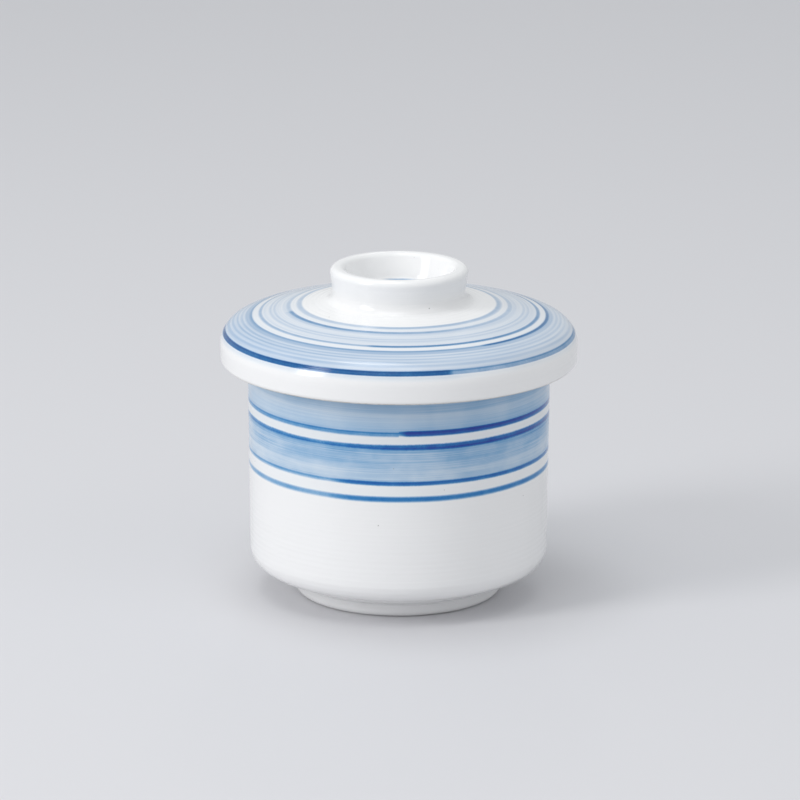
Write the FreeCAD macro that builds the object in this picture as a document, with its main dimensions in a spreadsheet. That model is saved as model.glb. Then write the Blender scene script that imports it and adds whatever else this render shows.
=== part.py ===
import FreeCAD, Part
import math
import os
import Sketcher

# A chawanmushi cup and its lid, both porcelain of revolution about Z.
# The ground is at z = 0 and the axis stands at x = y = 0. Millimetres.
# The lid is drawn from its seat, the flat ring that rests on the cup's rim.

sizes = {
    # cup, outside
    "cup_diameter": 74.2,       # over the rim
    "cup_height": 65.4,         # ground to rim, where the lid sits
    "wall_lean": 0.6,           # the wall draws in by this much on its way down
    "shoulder_height": 8.0,     # where the wall would meet the underside
    "shoulder_round": 5.2,
    # cup, inside
    "wall": 3.2,
    "floor": 4.4,               # over the foot's recess
    "inside_round": 9.0,
    # cup, foot ring
    "foot_diameter": 50.6,      # on the ground, before its edge is rounded
    "foot_height": 3.4,
    "foot_lean": 0.4,           # the ring flares by this much on its way up
    "foot_wall": 3.3,
    "foot_recess": 2.6,         # depth inside the ring
    "foot_edge_round": 1.6,     # outer edge on the ground
    "foot_inner_round": 0.6,    # inner edge on the ground
    "waist_round": 1.0,         # hollow corner between foot and body
    "recess_round": 1.6,
    # lid, skirt that hangs over the rim
    "skirt_gap": 2.5,           # clear space between the rim and the skirt
    "skirt_wall": 4.1,
    "skirt_drop": 7.3,          # seat down to the skirt's lower edge
    "skirt_lean": 0.15,         # the skirt draws in by this much on its way down
    "skirt_edge_round": 1.05,
    "skirt_corner_round": 2.0,  # inside, where the skirt meets the seat
    "widest_drop": 3.3,         # seat down to the widest place
    # lid, dome
    "edge_round": 6.3,          # turn of the skirt into the dome
    "brow_round": 18.1,         # steeper outer part of the dome
    "brow_width": 6.3,          # from the widest place in to the flatter crown
    "crown_height": 8.95,       # seat to the top of the crown, on the axis
    "crown_wall": 4.0,
    "seat_inset": 1.5,          # the seat reaches this far inside the rim
    # lid, ring knob
    "knob_diameter": 34.2,      # over the lip, before its edge is rounded
    "knob_rise": 7.3,           # top of the crown up to the lip
    "knob_wall": 3.5,
    "knob_lean": 1.35,          # the ring draws in by this much on its way down
    "knob_root": 2.0,           # depth of the ring's base within the dome
    "knob_foot_round": 2.6,     # hollow corner between ring and dome
    "well_depth": 6.9,          # lip to the floor inside the ring
    "well_lean": 2.0,           # the well narrows by this much on its way down
    "well_round": 2.4,
}

# Formulas on the sheet that several sketches share
rimRadius = "Sizes.cup_diameter / 2"
shoulderRadius = f"{rimRadius} - Sizes.wall_lean"
mouthRadius = f"{rimRadius} - Sizes.wall"
insideRadius = f"{mouthRadius} - Sizes.wall_lean"
insideFloor = "Sizes.foot_recess + Sizes.floor"
footRadius = "Sizes.foot_diameter / 2"
footTopRadius = f"{footRadius} + Sizes.foot_lean"
recessRadius = f"{footRadius} - Sizes.foot_wall"
recessTopRadius = f"{recessRadius} - Sizes.foot_lean"
skirtBore = f"{rimRadius} + Sizes.skirt_gap"
widestRadius = f"{skirtBore} + Sizes.skirt_wall"
skirtRadius = f"{widestRadius} - Sizes.skirt_lean"
crownRadius = f"{widestRadius} - Sizes.brow_width"
seatRadius = f"{mouthRadius} - Sizes.seat_inset"
knobRadius = "Sizes.knob_diameter / 2"
knobBaseRadius = f"{knobRadius} - Sizes.knob_lean"
knobBase = "Sizes.crown_height - Sizes.knob_root"
knobTop = "Sizes.crown_height + Sizes.knob_rise"
wellRadius = f"{knobRadius} - Sizes.knob_wall"
wellFloorRadius = f"{wellRadius} - Sizes.well_lean"
wellFloor = f"{knobTop} - Sizes.well_depth"

rimRoundShare = 0.36   # of the wall that the rounding turns over
lipRoundShare = 0.42


def fillSheet(doc):
    sheet = doc.addObject("Spreadsheet::Sheet", "Sizes")
    for row, (alias, value) in enumerate(sizes.items(), 1):
        sheet.set(f"A{row}", alias.replace("_", " "))
        sheet.set(f"B{row}", str(value))
        sheet.setAlias(f"B{row}", alias)
    doc.recompute()
    return sheet


def addSketch(body, name):
    """An empty sketch on the body's own upright plane: x is the radius, y the height."""
    upright = [plane for plane in body.Origin.OriginFeatures if plane.Role == "XZ_Plane"][0]
    sketch = body.newObject("Sketcher::SketchObject", name)
    sketch.AttachmentSupport = (upright, [""])
    sketch.MapMode = "FlatFace"
    return sketch


def addSize(sketch, kind, places, formula):
    """A dimension whose value follows a formula on the sheet."""
    value = sketch.evalExpression(formula)
    number = sketch.addConstraint(Sketcher.Constraint(kind, *places, value))
    sketch.setExpression(f"Constraints[{number}]", formula)


def placeCorner(sketch, side, end, radius, height):
    """Dimensions from the axis and from the base line to one end of a side."""
    if radius == "0":
        sketch.addConstraint(Sketcher.Constraint("PointOnObject", side, end, -2))
    else:
        addSize(sketch, "DistanceX", (-1, 1, side, end), radius)
    if height == "0":
        sketch.addConstraint(Sketcher.Constraint("PointOnObject", side, end, -1))
    elif sketch.evalExpression(height) < 0:
        addSize(sketch, "DistanceY", (side, end, -1, 1), f"-({height})")
    else:
        addSize(sketch, "DistanceY", (-1, 1, side, end), height)


def roundCorner(sketch, before, after, formula):
    """Round the corner between two sides and return the point that stays where they would meet."""
    sides = [sketch.Geometry[before], sketch.Geometry[after]]
    picks = [(side.StartPoint + side.EndPoint) / 2 for side in sides]
    sketch.fillet(before, after, *picks, sketch.evalExpression(formula), True, True)
    arc, meeting = sketch.GeometryCount - 2, sketch.GeometryCount - 1
    addSize(sketch, "Radius", (arc,), formula)
    return meeting


def drawOutline(sketch, corners, domed=()):
    """A closed outline through corners, anticlockwise, given as (radius, height[, rounding]) formulas.

    A side whose number is in domed is an arc centred on the axis, and the others are straight.
    """
    points = [FreeCAD.Vector(sketch.evalExpression(corner[0]), sketch.evalExpression(corner[1]), 0)
              for corner in corners]
    count = len(points)
    for side, start in enumerate(points):
        end = points[(side + 1) % count]
        if side in domed:
            rise = end.y - start.y
            domeRadius = (start.x ** 2 + rise ** 2) / (2 * rise)
            centre = FreeCAD.Vector(0, end.y - domeRadius, 0)
            circle = Part.Circle(centre, FreeCAD.Vector(0, 0, 1), domeRadius)
            sketch.addGeometry(Part.ArcOfCircle(circle, math.acos(start.x / domeRadius), math.pi / 2))
            sketch.addConstraint(Sketcher.Constraint("PointOnObject", side, 3, -2))
        else:
            sketch.addGeometry(Part.LineSegment(start, end))
    for side in range(count):
        sketch.addConstraint(Sketcher.Constraint("Coincident", side, 2, (side + 1) % count, 1))
    for side, (radius, height, *rounding) in enumerate(corners):
        if rounding:
            placeCorner(sketch, roundCorner(sketch, side - 1, side, rounding[0]), 1, radius, height)
        else:
            placeCorner(sketch, side, 1, radius, height)


def turn(body, sketch, kind, name):
    """Revolve the sketch once about the axis, as a Revolution or a Groove."""
    feature = body.newObject(f"PartDesign::{kind}", name)
    feature.Profile = (sketch, [""])
    feature.ReferenceAxis = (sketch, ["V_Axis"])
    feature.Angle = 360
    sketch.Visibility = False
    body.Document.recompute()
    return feature


def circlesOf(feature):
    """Each round edge of the feature as (edge name, radius, height), poles left out."""
    for number, edge in enumerate(feature.Shape.Edges, 1):
        if not edge.Degenerated and isinstance(edge.Curve, Part.Circle):
            yield f"Edge{number}", edge.Curve.Radius, edge.Curve.Center.z


def edgesAt(feature, places):
    """Names of the feature's round edges at the given (radius, height) formulas."""
    reach = 0.01
    wanted = [(feature.evalExpression(radius), feature.evalExpression(height)) for radius, height in places]
    return [name for name, radius, height in circlesOf(feature)
            if any(abs(radius - r) < reach and abs(height - z) < reach for r, z in wanted)]


def roundEdges(body, feature, names, formula, label):
    """Fillet the named edges of a feature with a radius that follows the sheet."""
    fillet = body.newObject("PartDesign::Fillet", label)
    fillet.Base = (feature, names)
    fillet.setExpression("Radius", formula)
    body.Document.recompute()
    return fillet


def makeCup(doc):
    body = doc.addObject("PartDesign::Body", "cup")

    outside = addSketch(body, "cup_outside")
    drawOutline(outside, [("0", "0"),
                          (footRadius, "0"),
                          (footTopRadius, "Sizes.foot_height", "Sizes.waist_round"),
                          (shoulderRadius, "Sizes.shoulder_height", "Sizes.shoulder_round"),
                          (rimRadius, "Sizes.cup_height"),
                          ("0", "Sizes.cup_height")])
    turn(body, outside, "Revolution", "cup_form")

    hollow = addSketch(body, "cup_hollow")
    drawOutline(hollow, [("0", insideFloor),
                         (insideRadius, insideFloor, "Sizes.inside_round"),
                         (mouthRadius, "Sizes.cup_height"),
                         ("0", "Sizes.cup_height")])
    turn(body, hollow, "Groove", "cup_inside")

    underFoot = addSketch(body, "foot_recess")
    drawOutline(underFoot, [("0", "0"),
                            (recessRadius, "0"),
                            (recessTopRadius, "Sizes.foot_recess", "Sizes.recess_round"),
                            ("0", "Sizes.foot_recess")])
    form = turn(body, underFoot, "Groove", "foot_inside")

    rimEdges = edgesAt(form, [(rimRadius, "Sizes.cup_height"), (mouthRadius, "Sizes.cup_height")])
    form = roundEdges(body, form, rimEdges, f"Sizes.wall * {rimRoundShare}", "rim")
    form = roundEdges(body, form, edgesAt(form, [(footRadius, "0")]), "Sizes.foot_edge_round", "foot_edge")
    roundEdges(body, form, edgesAt(form, [(recessRadius, "0")]), "Sizes.foot_inner_round", "foot_inner_edge")
    return body


def drawDome(sketch):
    """Outline of the lid without its knob: skirt, then three tangent arcs up to the axis."""
    bottom, skirt, edge, brow, crown, axis = range(6)
    edgeTilt, crownTilt = math.radians(32), math.radians(16)   # rough tilts, which the tangencies settle
    up = FreeCAD.Vector(0, 0, 1)

    def value(formula):
        return sketch.evalExpression(formula)

    def lean(tilt, distance):
        return FreeCAD.Vector(math.sin(tilt), math.cos(tilt), 0) * distance

    foot = FreeCAD.Vector(0, -value("Sizes.skirt_drop"), 0)
    lower = FreeCAD.Vector(value(skirtRadius), foot.y, 0)
    widest = FreeCAD.Vector(value(widestRadius), -value("Sizes.widest_drop"), 0)
    top = FreeCAD.Vector(0, value("Sizes.crown_height"), 0)
    edgeRound, browRound = value("Sizes.edge_round"), value("Sizes.brow_round")
    crownRound = value(crownRadius) / math.sin(crownTilt)
    edgeCentre = widest - FreeCAD.Vector(edgeRound, 0, 0)
    browCentre = edgeCentre - lean(edgeTilt, browRound - edgeRound)
    crownCentre = top - lean(0, crownRound)

    sketch.addGeometry(Part.LineSegment(foot, lower))
    sketch.addGeometry(Part.LineSegment(lower, widest))
    quarter = math.pi / 2
    sketch.addGeometry(Part.ArcOfCircle(Part.Circle(edgeCentre, up, edgeRound), 0, quarter - edgeTilt))
    sketch.addGeometry(Part.ArcOfCircle(Part.Circle(browCentre, up, browRound),
                                        quarter - edgeTilt, quarter - crownTilt))
    sketch.addGeometry(Part.ArcOfCircle(Part.Circle(crownCentre, up, crownRound),
                                        quarter - crownTilt, quarter))
    sketch.addGeometry(Part.LineSegment(top, foot))

    sketch.addConstraint([
        Sketcher.Constraint("Coincident", bottom, 2, skirt, 1),
        Sketcher.Constraint("Tangent", skirt, 2, edge, 1),
        Sketcher.Constraint("Tangent", edge, 2, brow, 1),
        Sketcher.Constraint("Tangent", brow, 2, crown, 1),
        Sketcher.Constraint("Coincident", crown, 2, axis, 1),
        Sketcher.Constraint("Coincident", axis, 2, bottom, 1),
        Sketcher.Constraint("Horizontal", bottom),
        Sketcher.Constraint("PointOnObject", crown, 3, -2),
    ])
    placeCorner(sketch, skirt, 1, skirtRadius, "-Sizes.skirt_drop")
    placeCorner(sketch, skirt, 2, widestRadius, "-Sizes.widest_drop")
    placeCorner(sketch, crown, 2, "0", "Sizes.crown_height")
    sketch.addConstraint(Sketcher.Constraint("PointOnObject", bottom, 1, -2))
    addSize(sketch, "Radius", (edge,), "Sizes.edge_round")
    addSize(sketch, "Radius", (brow,), "Sizes.brow_round")
    addSize(sketch, "DistanceX", (-1, 1, brow, 2), crownRadius)


def knobFootEdges(feature):
    """Names of the round edges where the ring's outer wall runs into the dome."""
    lowest, highest = feature.evalExpression(knobBase), feature.evalExpression("Sizes.crown_height")
    narrowest, widest = feature.evalExpression(knobBaseRadius), feature.evalExpression(knobRadius)
    return [name for name, radius, height in circlesOf(feature)
            if lowest < height < highest and narrowest < radius < widest]


def makeLid(doc):
    body = doc.addObject("PartDesign::Body", "lid")

    outside = addSketch(body, "lid_outside")
    drawDome(outside)
    turn(body, outside, "Revolution", "lid_form")

    boss = addSketch(body, "knob_outside")
    drawOutline(boss, [("0", knobBase),
                       (knobBaseRadius, knobBase),
                       (knobRadius, knobTop),
                       ("0", knobTop)])
    form = turn(body, boss, "Revolution", "knob")
    roundEdges(body, form, knobFootEdges(form), "Sizes.knob_foot_round", "knob_foot")

    well = addSketch(body, "knob_well")
    drawOutline(well, [("0", wellFloor),
                       (wellFloorRadius, wellFloor, "Sizes.well_round"),
                       (wellRadius, knobTop),
                       ("0", knobTop)])
    form = turn(body, well, "Groove", "knob_inside")
    lipEdges = edgesAt(form, [(knobRadius, knobTop), (wellRadius, knobTop)])
    roundEdges(body, form, lipEdges, f"Sizes.knob_wall * {lipRoundShare}", "knob_lip")

    underside = addSketch(body, "lid_hollow")
    drawOutline(underside, [("0", "-Sizes.skirt_drop"),
                            (skirtBore, "-Sizes.skirt_drop"),
                            (skirtBore, "0", "Sizes.skirt_corner_round"),
                            (seatRadius, "0"),
                            ("0", "Sizes.crown_height - Sizes.crown_wall")], domed=(3,))
    form = turn(body, underside, "Groove", "lid_inside")
    skirtEdges = edgesAt(form, [(skirtBore, "-Sizes.skirt_drop"), (skirtRadius, "-Sizes.skirt_drop")])
    roundEdges(body, form, skirtEdges, "Sizes.skirt_edge_round", "skirt_edges")

    body.setExpression(".Placement.Base.z", "Sizes.cup_height")
    return body


def checkDocument(doc, bodies):
    for item in doc.Objects:
        if "Invalid" in item.State or "Error" in item.State:
            raise RuntimeError(f"{item.Label} failed: {item.State}")
    for body in bodies:
        if body.Shape.isNull() or not body.Shape.isValid() or len(body.Shape.Solids) != 1:
            raise RuntimeError(f"{body.Label} isn't one valid solid")


def main():
    doc = FreeCAD.newDocument("chawanmushi_cup")
    fillSheet(doc)
    bodies = [makeCup(doc), makeLid(doc)]
    doc.recompute()
    checkDocument(doc, bodies)
    os.makedirs("parts", exist_ok=True)
    for body in bodies:
        body.Shape.exportStep(f"parts/{body.Label}.step")
        box = body.Shape.optimalBoundingBox()
        print(f"{body.Label}: {body.Shape.Volume / 1000:.1f} cm3, z {box.ZMin:.2f} to {box.ZMax:.2f},"
              f" {box.XLength:.2f} across")


main()
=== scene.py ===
import bpy
import math
from mathutils import Euler, Matrix, Vector


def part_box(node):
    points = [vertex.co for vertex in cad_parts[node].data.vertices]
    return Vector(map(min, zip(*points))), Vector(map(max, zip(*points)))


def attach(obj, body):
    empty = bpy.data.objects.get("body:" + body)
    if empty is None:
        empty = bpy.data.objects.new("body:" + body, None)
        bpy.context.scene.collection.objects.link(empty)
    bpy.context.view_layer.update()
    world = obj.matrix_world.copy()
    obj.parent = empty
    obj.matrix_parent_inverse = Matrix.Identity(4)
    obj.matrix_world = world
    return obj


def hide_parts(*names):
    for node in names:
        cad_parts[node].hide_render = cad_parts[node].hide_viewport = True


# A lidded porcelain cup for steamed custard with brushed blue bands.
# Metres in Blender; the sizes of the pieces below are in millimetres.
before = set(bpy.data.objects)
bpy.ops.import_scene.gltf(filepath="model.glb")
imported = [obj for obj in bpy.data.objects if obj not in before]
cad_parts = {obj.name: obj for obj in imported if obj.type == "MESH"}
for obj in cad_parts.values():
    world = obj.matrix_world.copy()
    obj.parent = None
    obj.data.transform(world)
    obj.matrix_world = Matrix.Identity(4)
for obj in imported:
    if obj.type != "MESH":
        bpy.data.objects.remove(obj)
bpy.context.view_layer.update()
mm = 0.001
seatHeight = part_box("cup")[1].z / mm      # rim of the cup, where the lid sits
print("frame loaded, rim at", round(seatHeight, 1), "mm")


# Outlines are lists of points (radius, height). They start on the axis inside and end on it underneath.

def arcPoints(centre, start, end, fineness=7):
    # the shorter arc from start to end, with a point about every so many degrees
    first, last = start - centre, end - centre
    turn = first.angle_signed(last)          # clockwise is positive
    count = max(3, round(abs(math.degrees(turn)) / fineness))
    points = []
    for k in range(count + 1):
        angle = -turn * k / count
        points.append(centre + Vector((first.x * math.cos(angle) - first.y * math.sin(angle),
                                       first.x * math.sin(angle) + first.y * math.cos(angle))))
    return points


def roundedPath(corners):
    # corners are (radius, height, rounding)
    points = []
    for k, (radius, height, rounding) in enumerate(corners):
        corner = Vector((radius, height))
        if rounding:
            toBefore = (Vector(corners[k - 1][:2]) - corner).normalized()
            toAfter = (Vector(corners[k + 1][:2]) - corner).normalized()
            half = toBefore.angle(toAfter) / 2
            centre = corner + (toBefore + toAfter).normalized() * rounding / math.sin(half)
            reach = rounding / math.tan(half)
            points += arcPoints(centre, corner + toBefore * reach, corner + toAfter * reach)
        else:
            points.append(corner)
    return points


def divided(points, spacing):
    # the same path with no side longer than the spacing
    result = [points[0]]
    for point in points[1:]:
        start = result[-1]
        parts = max(1, math.ceil((point - start).length / spacing))
        result += [start.lerp(point, (k + 1) / parts) for k in range(parts)]
    return result


cupForm = {
    "rimRadius": 37.1, "wallLean": 0.6,
    "shoulderHeight": 8.0, "shoulderRound": 5.2,
    "wall": 3.2, "floorHeight": 7.0, "insideRound": 9.0,
    "rimRound": 1.15,
    "footRadius": 25.3, "footLean": 0.4, "footHeight": 3.4, "footWall": 3.3,
    "footRecess": 2.6, "footEdge": 1.6, "footInner": 0.6, "waistRound": 1.0, "recessRound": 1.6,
    "bareEdge": 0.35,      # height of the unglazed ring that it stands on
    # marks of the turning on the wall: where they are, how deep, and radians of their waves in a millimetre
    "marksFrom": 9.0, "marksUnderRim": 2.0, "marksWithin": 1.2, "markDepth": 0.005,
    "coarseWave": 1.9, "fineWave": 3.3, "fineShare": 0.6,
}


def cupOutline(form):
    # inside and rim, outside down to the foot, bare edge of the foot, glazed recess under it
    mouth = form["rimRadius"] - form["wall"]
    inside = roundedPath([
        (0, form["floorHeight"], 0),
        (mouth - form["wallLean"], form["floorHeight"], form["insideRound"]),
        (mouth, seatHeight, form["rimRound"]),
        (form["rimRadius"], seatHeight, form["rimRound"]),
        (form["rimRadius"] - form["wallLean"], form["shoulderHeight"], 0)])[:-1]
    footTop = form["footRadius"] + form["footLean"]
    recess = form["footRadius"] - form["footWall"]
    outside = roundedPath([
        (form["rimRadius"], seatHeight - form["rimRound"], 0),
        (form["rimRadius"] - form["wallLean"], form["shoulderHeight"], form["shoulderRound"]),
        (footTop, form["footHeight"], form["waistRound"]),
        (form["footRadius"], 0, form["footEdge"]),
        (recess, 0, 0)])[1:-1]
    underside = roundedPath([
        (form["footRadius"], 0, 0),
        (recess, 0, form["footInner"]),
        (recess - form["footLean"], form["footRecess"], form["recessRound"]),
        (0, form["footRecess"], 0)])[1:]
    bare = [point for point in underside if point.y <= form["bareEdge"]]
    recessed = [point for point in underside if point.y > form["bareEdge"]]
    return inside, outside, bare, recessed


def cupMarks(point, angle):
    # the turned wall, from the shoulder up
    onWall = point.x >= cupForm["rimRadius"] - cupForm["marksWithin"]
    if not onWall or not cupForm["marksFrom"] < point.y < seatHeight - cupForm["marksUnderRim"]:
        return 0
    coarse = math.sin(point.y * cupForm["coarseWave"] + math.sin(angle + 1))
    fine = math.sin(point.y * cupForm["fineWave"] + 2 * math.sin(angle)) * cupForm["fineShare"]
    return cupForm["markDepth"] * (1 + cupForm["fineShare"] - coarse - fine)


lidForm = {
    "skirtBore": 39.6, "widestRadius": 43.68, "skirtLean": 0.15,
    "skirtDrop": 7.3, "widestDrop": 3.3,
    "edgeRound": 6.3, "browRound": 18.1, "crownRadius": 37.4, "crownHeight": 8.95,
    "crownWall": 4.0, "seatRadius": 32.4,
    "skirtEdge": 1.05, "skirtCorner": 2.0,
    "bareEdge": 0.35,      # height of the unglazed edge of the skirt
    "knobRadius": 17.1, "knobLean": 1.35, "knobRise": 7.3, "knobRoot": 2.0,
    "knobWall": 3.5, "knobFoot": 2.6, "lipRound": 1.47,
    "wellDepth": 6.9, "wellLean": 2.0, "wellRound": 2.4,
    # marks of the turning on the crown, which begin and end so far beyond the knob
    "marksFrom": 1.2, "marksTo": 7.5, "marksAbove": 4.0, "markDepth": 0.014,
    "markWave": 4.2, "markWander": 0.5,
}


def domeArcs(form):
    # Where edge, brow and crown run smoothly into each other: the edge and the brow as centre, start and
    # end of an arc, and the crown as its centre, its end at the brow and its radius.
    lean = math.atan2(form["skirtLean"], form["skirtDrop"] - form["widestDrop"])
    widest = Vector((form["widestRadius"], seatHeight - form["widestDrop"]))
    edge, brow = form["edgeRound"], form["browRound"]
    edgeCentre = widest - Vector((math.cos(lean), -math.sin(lean))) * edge

    def settle(crownTilt):
        crown = form["crownRadius"] / math.sin(crownTilt)
        browX = form["crownRadius"] - brow * math.sin(crownTilt)
        browTilt = math.asin((edgeCentre.x - browX) / (brow - edge))
        browCentre = Vector((browX, edgeCentre.y - (brow - edge) * math.cos(browTilt)))
        crownCentre = Vector((0, browCentre.y - (crown - brow) * math.cos(crownTilt)))
        return crown, browTilt, browCentre, crownCentre

    low, high = math.radians(8), math.radians(24)      # the crown's tilt at the brow lies between these
    while high - low > 1e-7:
        crownTilt = (low + high) / 2
        crown, browTilt, browCentre, crownCentre = settle(crownTilt)
        if crownCentre.y + crown < seatHeight + form["crownHeight"]:
            low = crownTilt
        else:
            high = crownTilt

    def along(centre, radius, tilt):
        return centre + Vector((math.sin(tilt), math.cos(tilt))) * radius

    edgeToBrow = along(edgeCentre, edge, browTilt)
    browToCrown = along(browCentre, brow, crownTilt)
    edgeArc = edgeCentre, edgeToBrow, widest
    browArc = browCentre, browToCrown, edgeToBrow
    return edgeArc, browArc, (crownCentre, browToCrown, crown)


def lidOutline(form):
    # knob and dome down to the skirt, bare lower edge, inside
    crownTop = seatHeight + form["crownHeight"]
    lipTop = crownTop + form["knobRise"]
    wellRadius = form["knobRadius"] - form["knobWall"]
    ringBase = Vector((form["knobRadius"] - form["knobLean"], crownTop - form["knobRoot"]))
    ringTop = Vector((form["knobRadius"], lipTop))
    edgeArc, browArc, (crownCentre, browToCrown, crown) = domeArcs(form)

    # hollow corner between the ring and the crown
    up = (ringTop - ringBase).normalized()
    out = Vector((up.y, -up.x))
    corner = form["knobFoot"]
    start = ringBase + out * corner - crownCentre
    rise = start.dot(up)
    reach = -rise + math.sqrt(rise ** 2 - start.length_squared + (crown + corner) ** 2)
    centre = crownCentre + start + up * reach
    onCrown = crownCentre + (centre - crownCentre) * crown / (crown + corner)

    top = roundedPath([
        (0, lipTop - form["wellDepth"], 0),
        (wellRadius - form["wellLean"], lipTop - form["wellDepth"], form["wellRound"]),
        (wellRadius, lipTop, form["lipRound"]),
        (ringTop.x, ringTop.y, form["lipRound"]),
        (ringBase.x, ringBase.y, 0)])[:-1]
    top += arcPoints(centre, centre - out * corner, onCrown)
    top += arcPoints(crownCentre, onCrown, browToCrown, fineness=0.12)[1:]
    for arcCentre, begin, end in (browArc, edgeArc):
        top += arcPoints(arcCentre, begin, end, fineness=2)[1:]
    skirtBottom = seatHeight - form["skirtDrop"]
    skirtRadius = form["widestRadius"] - form["skirtLean"]
    edge = roundedPath([
        (form["widestRadius"], seatHeight - form["widestDrop"], 0),
        (skirtRadius, skirtBottom, form["skirtEdge"]),
        (form["skirtBore"], skirtBottom, form["skirtEdge"]),
        (form["skirtBore"], seatHeight, 0)])[1:-1]
    bareTop = skirtBottom + form["bareEdge"]
    top += [point for point in edge if point.y > bareTop and point.x > skirtRadius - form["skirtEdge"]]
    bare = [point for point in edge if point.y <= bareTop]
    vault = Vector((0, crownTop - form["crownWall"]))
    seat = Vector((form["seatRadius"], seatHeight))
    vaultRadius = (seat.x ** 2 + (vault.y - seat.y) ** 2) / (2 * (vault.y - seat.y))
    innerCorner = form["skirtBore"] + form["skirtEdge"]
    inside = [point for point in edge if point.y > bareTop and point.x < innerCorner]
    inside += roundedPath([
        (form["skirtBore"], skirtBottom, 0),
        (form["skirtBore"], seatHeight, form["skirtCorner"]),
        (seat.x, seat.y, 0)])[1:-1]
    inside += arcPoints(vault - Vector((0, vaultRadius)), seat, vault, fineness=1)
    return top, bare, inside


def lidMarks(point, angle):
    # the crown just outside the knob
    start = lidForm["knobRadius"] + lidForm["marksFrom"]
    end = lidForm["knobRadius"] + lidForm["marksTo"]
    if not start < point.x < end or point.y < seatHeight + lidForm["marksAbove"]:
        return 0
    fade = math.sin(math.pi * (point.x - start) / (end - start))
    wave = math.sin(point.x * lidForm["markWave"] + lidForm["markWander"] * math.sin(angle))
    return lidForm["markDepth"] * fade * (1 - wave)


def joinedSections(sections):
    # one path through all the sections, and the number of the section that each of its steps is in
    path, sectionAt = [], []
    for number, (points, material, spacing) in enumerate(sections):
        joint = path[-1:]
        steps = divided(joint + points, spacing)
        sectionAt += [number] * (len(steps) - 1)
        path += steps[len(joint):]
    return path, sectionAt


def walkedShares(path):
    # how far along the path each of its points lies, from 0 to 1
    length = [0]
    for before, after in zip(path, path[1:]):
        length.append(length[-1] + (after - before).length)
    return [part / length[-1] for part in length]


def turnedMesh(name, sections, segments, marks):
    # Turn the sections of an outline about Z. Each section is (points, material, longest step), and
    # marks says how many millimetres the surface lies under its outline at a place.
    path, sectionAt = joinedSections(sections)
    shares = walkedShares(path)
    rings, vertices = [], []
    for k, point in enumerate(path):
        if point.x < 1e-6:      # on the axis, where the whole ring is one point
            rings.append([len(vertices)] * segments)
            vertices.append((0, 0, point.y * mm))
            continue
        along = (path[k + 1] - path[k - 1]).normalized()
        outward = Vector((-along.y, along.x))
        rings.append(list(range(len(vertices), len(vertices) + segments)))
        for s in range(segments):
            angle = 2 * math.pi * s / segments
            place = point - outward * marks(point, angle)
            reach = place.x * mm
            vertices.append((reach * math.cos(angle), reach * math.sin(angle), place.y * mm))

    # faces, each with its places on the flat: round the axis to the right, along the path upward
    faces, places, slots = [], [], []
    for k in range(len(path) - 1):
        ring, nextRing = rings[k], rings[k + 1]
        low, high = shares[k], shares[k + 1]
        for s in range(segments):
            t = (s + 1) % segments
            left, right = s / segments, (s + 1) / segments
            if ring[s] == ring[t]:
                faces.append((ring[s], nextRing[s], nextRing[t]))
                places += [((left + right) / 2, low), (left, high), (right, high)]
            elif nextRing[s] == nextRing[t]:
                faces.append((ring[t], ring[s], nextRing[s]))
                places += [(right, low), (left, low), ((left + right) / 2, high)]
            else:
                faces.append((ring[t], ring[s], nextRing[s], nextRing[t]))
                places += [(right, low), (left, low), (left, high), (right, high)]
            slots.append(sectionAt[k])
    mesh = bpy.data.meshes.new(name)
    mesh.from_pydata(vertices, [], faces)
    bake = mesh.uv_layers.new(name="OFBake")
    for loop, place in enumerate(places):
        bake.data[loop].uv = place
    for polygon, slot in zip(mesh.polygons, slots):
        polygon.use_smooth = True
        polygon.material_index = slot
    for points, material, spacing in sections:
        mesh.materials.append(material)
    piece = bpy.data.objects.new(name, mesh)
    bpy.context.scene.collection.objects.link(piece)
    print(name, len(path), "rings,", len(faces), "faces")
    return piece


# Shader effects that several materials share

class Nodes:
    # short ways to place and link nodes in a tree

    def __init__(self, tree):
        self.tree = tree

    def put(self, kind, **inputs):
        node = self.tree.nodes.new(kind)
        for key, value in inputs.items():
            self.feed(node.inputs[key], value)
        return node

    def feed(self, socket, value):
        if isinstance(value, bpy.types.NodeSocket):
            self.tree.links.new(value, socket)
        elif value is not None:
            socket.default_value = value

    def math(self, operation, first, second=None):
        node = self.tree.nodes.new("ShaderNodeMath")
        node.operation = operation
        for socket, value in zip(node.inputs, (first, second)):
            self.feed(socket, value)
        return node.outputs[0]

    def joined(self, operation, values):
        result = values[0]
        for value in values[1:]:
            result = self.math(operation, result, value)
        return result

    def product(self, *values):
        return self.joined("MULTIPLY", values)

    def total(self, *values):
        return self.joined("ADD", values)

    def ramp(self, value, fromLow, fromHigh, toLow=0.0, toHigh=1.0, smooth=True):
        node = self.tree.nodes.new("ShaderNodeMapRange")
        node.interpolation_type = "SMOOTHSTEP" if smooth else "LINEAR"
        for key, given in (("Value", value), ("From Min", fromLow), ("From Max", fromHigh),
                           ("To Min", toLow), ("To Max", toHigh)):
            self.feed(node.inputs[key], given)
        return node.outputs["Result"]

    def mixColor(self, factor, first, second):
        node = self.tree.nodes.new("ShaderNodeMix")
        node.data_type = "RGBA"
        self.feed(node.inputs[0], factor)
        self.feed(node.inputs[6], first)
        self.feed(node.inputs[7], second)
        return node.outputs[2]

    def vector(self, x, y, z):
        return self.put("ShaderNodeCombineXYZ", X=x, Y=y, Z=z).outputs[0]

    def noise(self, place, scale, detail=2.0, roughness=0.5):
        node = self.put("ShaderNodeTexNoise", Vector=place, Scale=scale, Detail=detail, Roughness=roughness)
        return node.outputs["Fac"]


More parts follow.
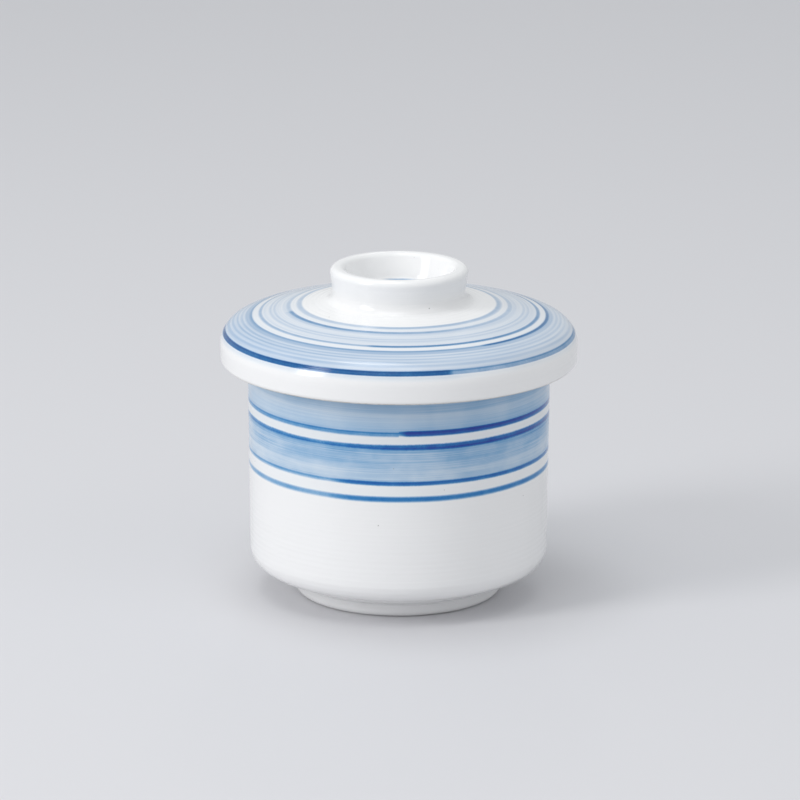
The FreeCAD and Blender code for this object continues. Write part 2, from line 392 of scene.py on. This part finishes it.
def newGroup(name, inputs, outputs):
    group = bpy.data.node_groups.new(name, "ShaderNodeTree")
    for key, (kind, default) in inputs.items():
        socket = group.interface.new_socket(name=key, in_out="INPUT", socket_type="NodeSocket" + kind)
        socket.default_value = default
    for key, kind in outputs.items():
        group.interface.new_socket(name=key, in_out="OUTPUT", socket_type="NodeSocket" + kind)
    given = group.nodes.new("NodeGroupInput").outputs
    result = group.nodes.new("NodeGroupOutput").inputs
    return group, Nodes(group), given, result


def turnedPlaceGroup():
    # radius and height in mm, the turn about the axis from 0 to 1, which starts at the front and grows to
    # the right, and how far a place lies to the right (East) and to the back (North), from -1 to 1
    group, n, _, result = newGroup("turned place", {}, {
        "Radius": "Float", "Height": "Float", "Turn": "Float", "East": "Float", "North": "Float"})
    place = n.put("ShaderNodeTexCoord").outputs["Object"]
    x, y, z = n.put("ShaderNodeSeparateXYZ", Vector=place).outputs[:3]
    flat = n.math("SQRT", n.math("ADD", n.math("MULTIPLY", x, x), n.math("MULTIPLY", y, y)))
    n.feed(result["Radius"], n.math("DIVIDE", flat, mm))
    n.feed(result["Height"], n.math("DIVIDE", z, mm))
    angle = n.math("ARCTAN2", x, n.math("MULTIPLY", y, -1.0))
    n.feed(result["Turn"], n.math("FRACT", n.math("ADD", n.math("DIVIDE", angle, 2 * math.pi), 1.0)))
    n.feed(result["East"], n.math("DIVIDE", x, flat))
    n.feed(result["North"], n.math("DIVIDE", y, flat))
    return group


def brushStreaksGroup():
    # long hair marks that a brush leaves on a turning pot, about 0 to 1
    group, n, given, result = newGroup("brush streaks", {
        "Across": ("Float", 0.0), "East": ("Float", 1.0), "North": ("Float", 0.0),
        "Pitch": ("Float", 0.5), "Length": ("Float", 1.0), "Seed": ("Float", 0.0)}, {"Value": "Float"})
    around = n.math("DIVIDE", 1.0, given["Length"])
    place = n.vector(n.math("ADD", n.math("MULTIPLY", given["East"], around), given["Seed"]),
                     n.math("MULTIPLY", given["North"], around),
                     n.math("DIVIDE", given["Across"], given["Pitch"]))
    n.feed(result["Value"], n.ramp(n.noise(place, 1.0, 3.0, 0.6), 0.28, 0.72, smooth=False))
    return group


def paintedLineGroup():
    # One brushed line: how much pigment it leaves at a place across it. The brush lands at the turn
    # Start, reaches the load First by Fade of a turn, and has thinned to the load Last by Spent.
    group, n, given, result = newGroup("painted line", {
        "Across": ("Float", 0.0), "Centre": ("Float", 0.0), "Width": ("Float", 1.0),
        "Soft Low": ("Float", 0.2), "Soft High": ("Float", 0.2), "Turn": ("Float", 0.0),
        "East": ("Float", 1.0), "North": ("Float", 0.0), "Start": ("Float", 0.0),
        "First": ("Float", 1.0), "Last": ("Float", 0.5), "Fade": ("Float", 0.004),
        "Spent": ("Float", 0.5), "Thin": ("Float", 0.0), "Drift": ("Float", 0.0), "Wander": ("Float", 0.05),
        "Ragged": ("Float", 0.03), "Lift": ("Float", 0.0), "Seed": ("Float", 0.0), "Grain": ("Float", 0.2)},
        {"Amount": "Float"})
    wander, rough, patchy = 2.5, 70.0, 9.0      # fineness of the noise in its place, edges and load
    fleckAround, fleckAcross = 110.0, 4.5
    swayReach, grainReach = 3.0, 2.4
    across, fade, north = given["Across"], given["Fade"], given["North"]
    since = n.math("FRACT", n.math("ADD", n.math("SUBTRACT", given["Turn"], given["Start"]), 2.0))
    spent = n.math("ADD", n.ramp(since, 0.0, fade, 1.0, 0.0), n.ramp(since, fade, given["Spent"]))
    change = n.math("SUBTRACT", given["Last"], given["First"])
    load = n.math("ADD", given["First"], n.math("MULTIPLY", spent, change))

    def sway(fineness, detail):
        around = n.vector(n.math("ADD", n.math("MULTIPLY", given["East"], fineness), given["Seed"]),
                          n.math("MULTIPLY", north, fineness), given["Seed"])
        return n.math("SUBTRACT", n.noise(around, 1.0, detail), 0.5)

    off = n.math("SUBTRACT", across, given["Centre"])
    off = n.math("SUBTRACT", off, n.math("MULTIPLY", given["Drift"], since))
    off = n.math("SUBTRACT", off, n.math("MULTIPLY", given["Lift"], n.ramp(given["East"], 0.3, 1.0)))
    off = n.math("ADD", off, n.product(sway(wander, 1.0), given["Wander"], swayReach))
    off = n.math("ADD", off, n.product(sway(rough, 3.0), given["Ragged"], swayReach))
    thinned = n.math("SUBTRACT", 1.0, n.math("MULTIPLY", spent, given["Thin"]))
    half = n.product(given["Width"], 0.5, thinned)
    lowEdge = n.math("MULTIPLY", half, -1.0)
    softLow, softHigh = given["Soft Low"], given["Soft High"]
    rise = n.ramp(off, n.math("SUBTRACT", lowEdge, softLow), n.math("ADD", lowEdge, softLow))
    fall = n.ramp(off, n.math("SUBTRACT", half, softHigh), n.math("ADD", half, softHigh), 1.0, 0.0)
    fleck = n.vector(n.math("MULTIPLY", given["East"], fleckAround), n.math("MULTIPLY", north, fleckAround),
                     n.math("MULTIPLY", across, fleckAcross))
    uneven = n.math("ADD", n.math("SUBTRACT", n.noise(fleck, 1.0, 3.0, 0.65), 0.5), sway(patchy, 2.0))
    grain = n.math("ADD", 1.0, n.product(uneven, given["Grain"], grainReach))
    n.feed(result["Amount"], n.product(rise, fall, load, grain))
    return group


def cobaltGroup():
    # Glaze over cobalt. The amount is what it takes from green light; Red and Blue are shares of that, and
    # Deep is how much faster red goes, and how much slower blue goes, in a heavy stroke.
    group, n, given, result = newGroup("cobalt under glaze", {
        "Glaze": ("Color", (0.86, 0.87, 0.89, 1)), "Amount": ("Float", 0.0),
        "Red": ("Float", 1.6), "Blue": ("Float", 0.4), "Deep": ("Float", 0.2)}, {"Color": "Color"})
    slower = 0.1      # what blue is spared, as a share of Deep
    amount, deep = given["Amount"], given["Deep"]
    red = n.total(n.product(amount, given["Red"]), n.product(amount, amount, amount, deep))
    blue = n.math("SUBTRACT", n.product(amount, given["Blue"]), n.product(amount, amount, deep, slower))
    split = n.put("ShaderNodeSeparateColor", Color=given["Glaze"]).outputs
    taken = (red, amount, n.math("MAXIMUM", blue, 0.0))
    parts = [n.math("MULTIPLY", channel, n.math("EXPONENT", n.math("MULTIPLY", share, -1.0)))
             for channel, share in zip(split, taken)]
    joined = n.put("ShaderNodeCombineColor", Red=parts[0], Green=parts[1], Blue=parts[2])
    n.feed(result["Color"], joined.outputs[0])
    return group


turnedPlace, brushStreaks, paintedLine, cobalt = (
    turnedPlaceGroup(), brushStreaksGroup(), paintedLineGroup(), cobaltGroup())


class Painting(Nodes):
    # a porcelain material that is painted stroke by stroke

    def __init__(self, name):
        self.material = bpy.data.materials.new(name)
        self.material.use_nodes = True
        super().__init__(self.material.node_tree)
        self.shader = self.tree.nodes["Principled BSDF"]
        self.place = self.use(turnedPlace)
        self.amount = None

    def use(self, group, **inputs):
        node = self.tree.nodes.new("ShaderNodeGroup")
        node.node_tree = group
        for key, value in inputs.items():
            self.feed(node.inputs[key.replace("_", " ")], value)
        return node.outputs

    def add(self, *factors):
        amount = self.product(*factors)
        self.amount = amount if self.amount is None else self.math("ADD", self.amount, amount)

    def streaks(self, across, pitch, length, seed, low, high):
        value = self.use(brushStreaks, Across=across, East=self.place["East"], North=self.place["North"],
                         Pitch=pitch, Length=length, Seed=seed)["Value"]
        return self.ramp(value, 0.0, 1.0, low, high, smooth=False)

    def hairs(self, across, look):
        return [self.streaks(across, *hair) for hair in look["streaks"]]

    def line(self, across, stroke, seed):
        # one stroke, whose seed sets its noise apart from the others'
        look = {key: stroke[key] for key in stroke if key != "at"}
        self.add(self.use(paintedLine, Across=across, Centre=stroke["at"], Turn=self.place["Turn"],
                          East=self.place["East"], North=self.place["North"], Seed=seed, **look)["Amount"])

    def between(self, value, low, high, soft):
        return self.product(self.ramp(value, low - soft, low + soft),
                            self.ramp(value, high - soft, high + soft, 1.0, 0.0))

    def clouds(self, scale, seed, stretch, low, high):
        around = 37.0 * scale      # the wall's radius in mm, so that clouds are as long around as along it
        across = self.math("ADD", self.math("MULTIPLY", self.place["Height"], scale * stretch), seed)
        place = self.vector(self.math("MULTIPLY", self.place["East"], around),
                            self.math("MULTIPLY", self.place["North"], around), across)
        return self.ramp(self.noise(place, 1.0, 3.0), 0.3, 0.7, low, high)


glazeLook = {
    "glaze": (0.868, 0.866, 0.866, 1), "ior": 1.5,
    "roughness": (0.10, 0.15), "cloudScale": 90.0,
    # specks: cells in a metre, and least and most radius as shares of a cell
    "speck": (0.13, 0.12, 0.11, 1), "speckCells": 830.0, "speckSize": (0.08, 0.20), "speckStrength": 0.6,
    "skinScale": 700.0, "skinDepth": 0.004,
}

# A finish has turning ridges of (pitch, length, seed) and a share of cells with a speck in them.
plainFinish = {"ridges": (1.4, 3.0, 5.0), "ridgeDepth": 0.01, "specked": 0.004}


def finishGlaze(paint, finish, pigment=None):
    # specks, gloss and faint turning marks, which all the glazed surfaces share
    color = glazeLook["glaze"]
    if pigment:
        color = paint.use(cobalt, Glaze=color, Amount=paint.amount, **pigment)["Color"]
    solid = paint.put("ShaderNodeTexCoord").outputs["Object"]
    # each cell has a chance of a speck, and a size for it
    cells = paint.put("ShaderNodeTexVoronoi", Vector=solid, Scale=glazeLook["speckCells"]).outputs
    chance = paint.put("ShaderNodeSeparateColor", Color=cells["Color"]).outputs
    size = paint.ramp(chance[1], 0.0, 1.0, *glazeLook["speckSize"], smooth=False)
    core = paint.math("MULTIPLY", size, 0.5)
    dot = paint.ramp(cells["Distance"], core, size, glazeLook["speckStrength"], 0.0)
    speck = paint.math("MULTIPLY", paint.math("LESS_THAN", chance[0], finish["specked"]), dot)
    paint.feed(paint.shader.inputs["Base Color"], paint.mixColor(speck, color, glazeLook["speck"]))
    paint.shader.inputs["IOR"].default_value = glazeLook["ior"]
    clouds = paint.noise(solid, glazeLook["cloudScale"])
    paint.feed(paint.shader.inputs["Roughness"], paint.ramp(clouds, 0.3, 0.7, *glazeLook["roughness"]))

    # grows outward and downward, so that it runs across the marks on walls and domes alike
    along = paint.math("SUBTRACT", paint.place["Radius"], paint.place["Height"])
    marks = [paint.streaks(along, *finish["ridges"], 0.0, finish["ridgeDepth"] * mm)]
    if "grooves" in finish:
        grooves, height = finish["grooves"], paint.place["Height"]
        wave = paint.math("COSINE", paint.math("MULTIPLY", height, 2 * math.pi / grooves["pitch"]))
        marks.append(paint.product(wave, paint.ramp(height, *grooves["fade"]), grooves["depth"] * mm,
                                   *paint.hairs(along, grooves)))
    skin = paint.noise(solid, glazeLook["skinScale"])
    marks.append(paint.math("MULTIPLY", skin, glazeLook["skinDepth"] * mm))
    bump = paint.put("ShaderNodeBump", Height=paint.total(*marks), Strength=1.0, Distance=1.0)
    paint.feed(paint.shader.inputs["Normal"], bump.outputs["Normal"])
    return paint.material


def plainGlaze(name):
    return finishGlaze(Painting(name), plainFinish)


# Pigment is counted as what it takes from green light. A ramp is (from, to, value below, value above), a
# wash has brush hairs of (pitch, length, seed, least, most), and its clouds are (scale, seed, stretch,
# least, most). In a stroke, at is the height on the cup and the radius on the lid, in mm, but for the edge
# and bleed of the lid the height too. First and Last are its loads of pigment, Start and Spent are parts
# of a turn, and Soft Low is its lower or inner edge.
cupPaint = {
    "cobalt": {"Red": 1.60, "Blue": 0.45, "Deep": 0.36},
    "washes": [
        # the upper one runs on under the lid, where it is heavier: a denser brush pass from 54.2 mm up, with
        # painted shade of the lid's overhang added to it
        {"from": 49.4, "to": 62.6, "soft": 0.2,
         # the second load, from 53.95 to 54.70 mm, is that band under the lid: denser wash and painted shade
         # together
         "loads": [(49.4, 54.2, 0.50, 0.375), (53.95, 54.70, 0.0, 0.16), (50.0, 51.0, 0.12, 0.0)],
         "leftToRight": (-0.6, 0.4, 0.88, 1.17), "clouds": (0.09, 11.0, 0.8, 0.88, 1.12),
         "streaks": [(0.18, 0.9, 3.0, 0.80, 1.20), (1.1, 2.0, 4.0, 0.90, 1.10)]},
        {"from": 37.0, "to": 45.9, "soft": 0.2,
         "loads": [(39.6, 41.8, 0.348, 0.58), (37.6, 39.0, 0.12, 0.0), (43.9, 45.2, 0.0, 0.15)],
         "leftToRight": (-0.9, 0.4, 0.88, 1.08), "clouds": (0.10, 16.0, 1.6, 0.76, 1.24),
         "streaks": [(0.18, 0.7, 10.0, 0.66, 1.34), (1.3, 1.2, 12.0, 0.80, 1.20)]},
    ],
    "hazes": [(45.9, 49.4, 0.3, 0.065), (33.1, 37.0, 0.5, 0.0325)],      # low, high, softness, load
    "finish": {
        "ridges": (0.8, 3.0, 5.0), "ridgeDepth": 0.015, "specked": 0.004,
        "grooves": {"pitch": 1.33, "depth": 0.0072, "fade": (12.0, 34.0, 1.0, 0.35),
                    "streaks": [(4.0, 0.8, 31.0, 0.4, 1.6)]},
    },
    "strokes": [
        {"at": 49.42, "Width": 1.20, "Soft_Low": 0.30, "Soft_High": 0.24, "Start": 0.000, "First": 2.46,
         "Last": 1.00, "Fade": 0.011, "Spent": 0.46, "Thin": 0.20, "Drift": -0.22, "Grain": 0.24},
        {"at": 46.02, "Width": 1.20, "Soft_Low": 0.34, "Soft_High": 0.30, "Start": 0.87, "First": 2.04,
         "Last": 1.32, "Fade": 0.20, "Spent": 0.75, "Thin": 0.34, "Drift": 0.05, "Ragged": 0.07,
         "Grain": 0.36},
        {"at": 37.01, "Width": 0.92, "Soft_Low": 0.28, "Soft_High": 0.26, "Start": 0.925, "First": 1.76,
         "Last": 0.68, "Fade": 0.03, "Spent": 0.78, "Thin": 0.12, "Ragged": 0.04, "Lift": 0.06,
         "Grain": 0.28},
        {"at": 33.10, "Width": 1.12, "Soft_Low": 0.40, "Soft_High": 0.36, "Start": 0.91, "First": 1.62,
         "Last": 0.86, "Fade": 0.06, "Spent": 0.78, "Thin": 0.05, "Lift": 0.26, "Grain": 0.22},
    ],
}


def paintedCupGlaze():
    paint = Painting("cup_painted_glaze")
    z, east = paint.place["Height"], paint.place["East"]
    for wash in cupPaint["washes"]:
        load = paint.total(*(paint.ramp(z, *part) for part in wash["loads"]))
        paint.add(paint.between(z, wash["from"], wash["to"], wash["soft"]), load,
                  paint.ramp(east, *wash["leftToRight"]), paint.clouds(*wash["clouds"]),
                  *paint.hairs(z, wash))
    for low, high, soft, load in cupPaint["hazes"]:
        paint.add(paint.between(z, low, high, soft), load)
    for number, stroke in enumerate(cupPaint["strokes"]):
        paint.line(z, stroke, 2.0 + 3 * number)
    return finishGlaze(paint, cupPaint["finish"], cupPaint["cobalt"])


lidPaint = {
    "cobalt": {"Red": 1.40, "Blue": 0.54, "Deep": 0.20},
    "washes": [
        {"from": 24.6, "to": 36.0, "soft": 0.3, "load": 0.105, "streaks": [(0.8, 2.0, 2.0, 0.6, 1.4)]},
        {"from": 27.2, "to": 33.2, "soft": 0.35, "load": 0.12, "streaks": [(0.45, 1.4, 8.0, 0.45, 1.55)]},
    ],
    # the outer wash begins between two radii, ends between two heights, and is heavier on the left
    "outerWash": {"begins": (35.75, 36.05), "ends": (65.76, 65.96), "load": 0.31,
                  "leftToRight": (-1.0, 1.0, 1.16, 0.84),
                  "streaks": [(0.4, 1.0, 4.0, 0.8, 1.2), (2.5, 0.9, 6.0, 0.8, 1.2)]},
    "beside": {"ends": (37.2, 37.8), "load": 0.28, "streaks": [(0.6, 0.8, 9.0, 0.75, 1.25)]},
    "rings": {"begins": (37.8, 38.0), "at": 38.40, "pitch": 1.04, "load": 0.17,
              "sway": (3.0, 1.5, 15.0, -0.9, 0.9), "streaks": [(1.4, 0.8, 21.0, 0.4, 1.6)]},
    "finish": {"ridges": (0.9, 3.0, 5.0), "ridgeDepth": 0.035, "specked": 0.018},
    "strokes": [
        {"at": 11.36, "Width": 0.42, "Soft_Low": 0.16, "Soft_High": 0.16, "Start": 0.7, "First": 0.9,
         "Last": 0.8},
        {"at": 24.28, "Width": 1.10, "Soft_Low": 0.32, "Soft_High": 0.60, "Start": 0.955, "First": 0.62,
         "Last": 0.46, "Fade": 0.020, "Spent": 0.9, "Grain": 0.18},
        {"at": 26.92, "Width": 0.85, "Soft_Low": 0.28, "Soft_High": 0.40, "Start": 0.779, "First": 1.06,
         "Last": 0.38, "Fade": 0.014, "Spent": 0.44, "Grain": 0.24},
        {"at": 27.75, "Width": 1.00, "Soft_Low": 0.50, "Soft_High": 0.60, "Start": 0.783, "First": 0.20,
         "Last": 0.05, "Spent": 0.60, "Grain": 0.20},
        {"at": 30.40, "Width": 0.45, "Soft_Low": 0.30, "Soft_High": 0.30, "Start": 0.60, "First": 0.24,
         "Last": 0.18, "Grain": 0.30},
        {"at": 31.42, "Width": 0.50, "Soft_Low": 0.30, "Soft_High": 0.30, "Start": 0.45, "First": 0.24,
         "Last": 0.18, "Grain": 0.30},
        {"at": 33.86, "Width": 0.80, "Soft_Low": 0.26, "Soft_High": 0.32, "Start": 0.960, "First": 1.22,
         "Last": 0.58, "Fade": 0.014, "Spent": 0.78, "Thin": 0.05, "Grain": 0.20},
        {"at": 36.09, "Width": 0.70, "Soft_Low": 0.22, "Soft_High": 0.28, "Start": 0.088, "First": 1.38,
         "Last": 0.32, "Fade": 0.016, "Spent": 0.60, "Grain": 0.20},
    ],
    "edge": {"at": 65.66, "Width": 0.98, "Soft_Low": 0.15, "Soft_High": 0.16, "Start": 0.042, "First": 0.80,
             "Last": 2.10, "Fade": 0.008, "Spent": 0.78, "Wander": 0.03, "Ragged": 0.02, "Grain": 0.26},
    "bleed": {"at": 64.72, "Width": 0.80, "Soft_Low": 0.80, "Soft_High": 0.30, "Start": 0.044, "First": 0.08,
              "Last": 0.19, "Fade": 0.03, "Grain": 0.30},
}


def paintedLidGlaze():
    paint = Painting("lid_painted_glaze")
    r, z = paint.place["Radius"], paint.place["Height"]
    for wash in lidPaint["washes"]:
        paint.add(paint.between(r, wash["from"], wash["to"], wash["soft"]), wash["load"],
                  *paint.hairs(r, wash))

    outer, beside, rings = lidPaint["outerWash"], lidPaint["beside"], lidPaint["rings"]
    lean = paint.ramp(paint.place["East"], *outer["leftToRight"], smooth=False)
    painted = paint.product(paint.ramp(r, *outer["begins"]), paint.ramp(z, *outer["ends"]))
    paint.add(painted, outer["load"], lean, *paint.hairs(r, outer))
    paint.add(painted, beside["load"], paint.ramp(r, *beside["ends"], 1.0, 0.0), *paint.hairs(r, beside))
    phase = paint.math("MULTIPLY", paint.math("SUBTRACT", r, rings["at"]), 2 * math.pi / rings["pitch"])
    phase = paint.math("ADD", phase, paint.streaks(r, *rings["sway"]))
    wave = paint.ramp(paint.math("COSINE", phase), -1.0, 1.0)
    paint.add(painted, paint.ramp(r, *rings["begins"]), wave, rings["load"], lean, *paint.hairs(r, rings))

    for number, stroke in enumerate(lidPaint["strokes"]):
        paint.line(r, stroke, 1.0 + 3 * number)
    paint.line(z, lidPaint["edge"], 41.0)
    paint.line(z, lidPaint["bleed"], 47.0)
    return finishGlaze(paint, lidPaint["finish"], lidPaint["cobalt"])


clayLook = {
    "color": (0.72, 0.70, 0.665), "darker": (0.84, 0.82, 0.79),      # darker: shares in the mottles
    "roughness": 0.75, "mottleScale": 1500.0, "mottleDepth": 0.02,
}


def bareClay(name):
    # the unglazed edge that stood on the kiln shelf
    paint = Painting(name)
    solid = paint.put("ShaderNodeTexCoord").outputs["Object"]
    mottle = paint.ramp(paint.noise(solid, clayLook["mottleScale"], 3.0), 0.35, 0.7)
    dark = [value * share for value, share in zip(clayLook["color"], clayLook["darker"])]
    color = paint.mixColor(mottle, (*clayLook["color"], 1), (*dark, 1))
    paint.feed(paint.shader.inputs["Base Color"], color)
    paint.shader.inputs["Roughness"].default_value = clayLook["roughness"]
    relief = paint.math("MULTIPLY", mottle, clayLook["mottleDepth"] * mm)
    bump = paint.put("ShaderNodeBump", Height=relief, Strength=1.0, Distance=1.0)
    paint.feed(paint.shader.inputs["Normal"], bump.outputs["Normal"])
    return paint.material


# segments round the meshes, and their longest steps along the outlines in mm
meshStep = {"segments": 288, "painted": 0.6, "plain": 1.5, "vault": 1.2, "bare": 1.0}

insideCup, outsideCup, footEdge, underCup = cupOutline(cupForm)
cup = turnedMesh("porcelain_cup", [
    (insideCup, plainGlaze("cup_inside_glaze"), meshStep["plain"]),
    (outsideCup, paintedCupGlaze(), meshStep["painted"]),
    (footEdge, bareClay("cup_foot_clay"), meshStep["bare"]),
    (underCup, plainGlaze("cup_under_glaze"), meshStep["plain"])], meshStep["segments"], cupMarks)
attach(cup, "root")
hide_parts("cup")

topLid, edgeLid, insideLid = lidOutline(lidForm)
lid = turnedMesh("porcelain_lid", [
    (topLid, paintedLidGlaze(), meshStep["painted"]),
    (edgeLid, bareClay("lid_edge_clay"), meshStep["bare"]),
    (insideLid, plainGlaze("lid_inside_glaze"), meshStep["vault"])], meshStep["segments"], lidMarks)
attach(lid, "root")
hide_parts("lid")
print("pieces built")


room = {
    "floor": (0.683, 0.679, 0.700, 1), "floorRoughness": 0.6, "reach": 6.0,
    "gap": 0.00003,      # the floor lies a hair under the foot, so that their faces don't fight
    "sky": (0.935, 0.962, 0.985, 1), "skyStrength": 0.66,
}

signs = (-1, -1), (1, -1), (1, 1), (-1, 1)
corners = [(x * room["reach"], y * room["reach"], -room["gap"]) for x, y in signs]
floorMesh = bpy.data.meshes.new("floor")
floorMesh.from_pydata(corners, [], [(0, 1, 2, 3)])
floor = bpy.data.objects.new("floor", floorMesh)
bpy.context.scene.collection.objects.link(floor)
paper = bpy.data.materials.new("paper")
paper.use_nodes = True
surface = paper.node_tree.nodes["Principled BSDF"].inputs
surface["Base Color"].default_value = room["floor"]
surface["Roughness"].default_value = room["floorRoughness"]
floorMesh.materials.append(paper)

world = bpy.data.worlds.new("studio")
bpy.context.scene.world = world
world.use_nodes = True
sky = world.node_tree.nodes["Background"].inputs
sky["Color"].default_value = room["sky"]
sky["Strength"].default_value = room["skyStrength"]

lightsAim = Vector((0, 0, 0.04))      # half way up the cup
lights = {
    # degrees round from the front and up from the floor, distance, width and height in metres, watts
    "key": (-60, 27, 1.3, 0.42, 0.90, 6.4),
    "above": (-25, 72, 1.2, 0.75, 0.75, 2.2),
    "glow": (-125, 80, 1.2, 0.42, 0.42, 1.4),
    "right": (60, 30, 1.3, 0.9, 0.9, 0.85),
    "back": (178, 30, 1.3, 0.14, 0.14, 0.14),
}


def softbox(name, around, up, distance, width, height, power):
    # a round or oval soft light that faces the cup
    lamp = bpy.data.lights.new(name, "AREA")
    lamp.shape = "ELLIPSE"
    lamp.size, lamp.size_y = width, height
    lamp.energy = power
    lightObject = bpy.data.objects.new(name, lamp)
    bearing, rise = math.radians(around), math.radians(up)
    away = Vector((math.sin(bearing) * math.cos(rise), -math.cos(bearing) * math.cos(rise), math.sin(rise)))
    lightObject.location = lightsAim + away * distance
    lightObject.rotation_euler = away.to_track_quat("Z", "Y").to_euler()
    bpy.context.scene.collection.objects.link(lightObject)


for name, place in lights.items():
    softbox(name, *place)

view = {
    "lens": 218.0, "sensor": 36.0, "shift": (0.0014, 0.0009),      # mm, mm, shares of the frame
    "place": (0, -1.1455, 0.3584), "down": 15.18, "roll": 0.15,    # metres and degrees
}

lens = bpy.data.cameras.new("camera")
lens.lens = view["lens"]
lens.sensor_width = view["sensor"]
lens.shift_x, lens.shift_y = view["shift"]
camera = bpy.data.objects.new("camera", lens)
camera.location = view["place"]
tilt = Euler((math.radians(90 - view["down"]), 0, 0)).to_matrix()
aim = tilt @ Matrix.Rotation(math.radians(view["roll"]), 3, "Z")
camera.rotation_euler = aim.to_euler()
bpy.context.scene.collection.objects.link(camera)
bpy.context.scene.camera = camera
bpy.context.scene.view_settings.view_transform = "Standard"
print("stage set")
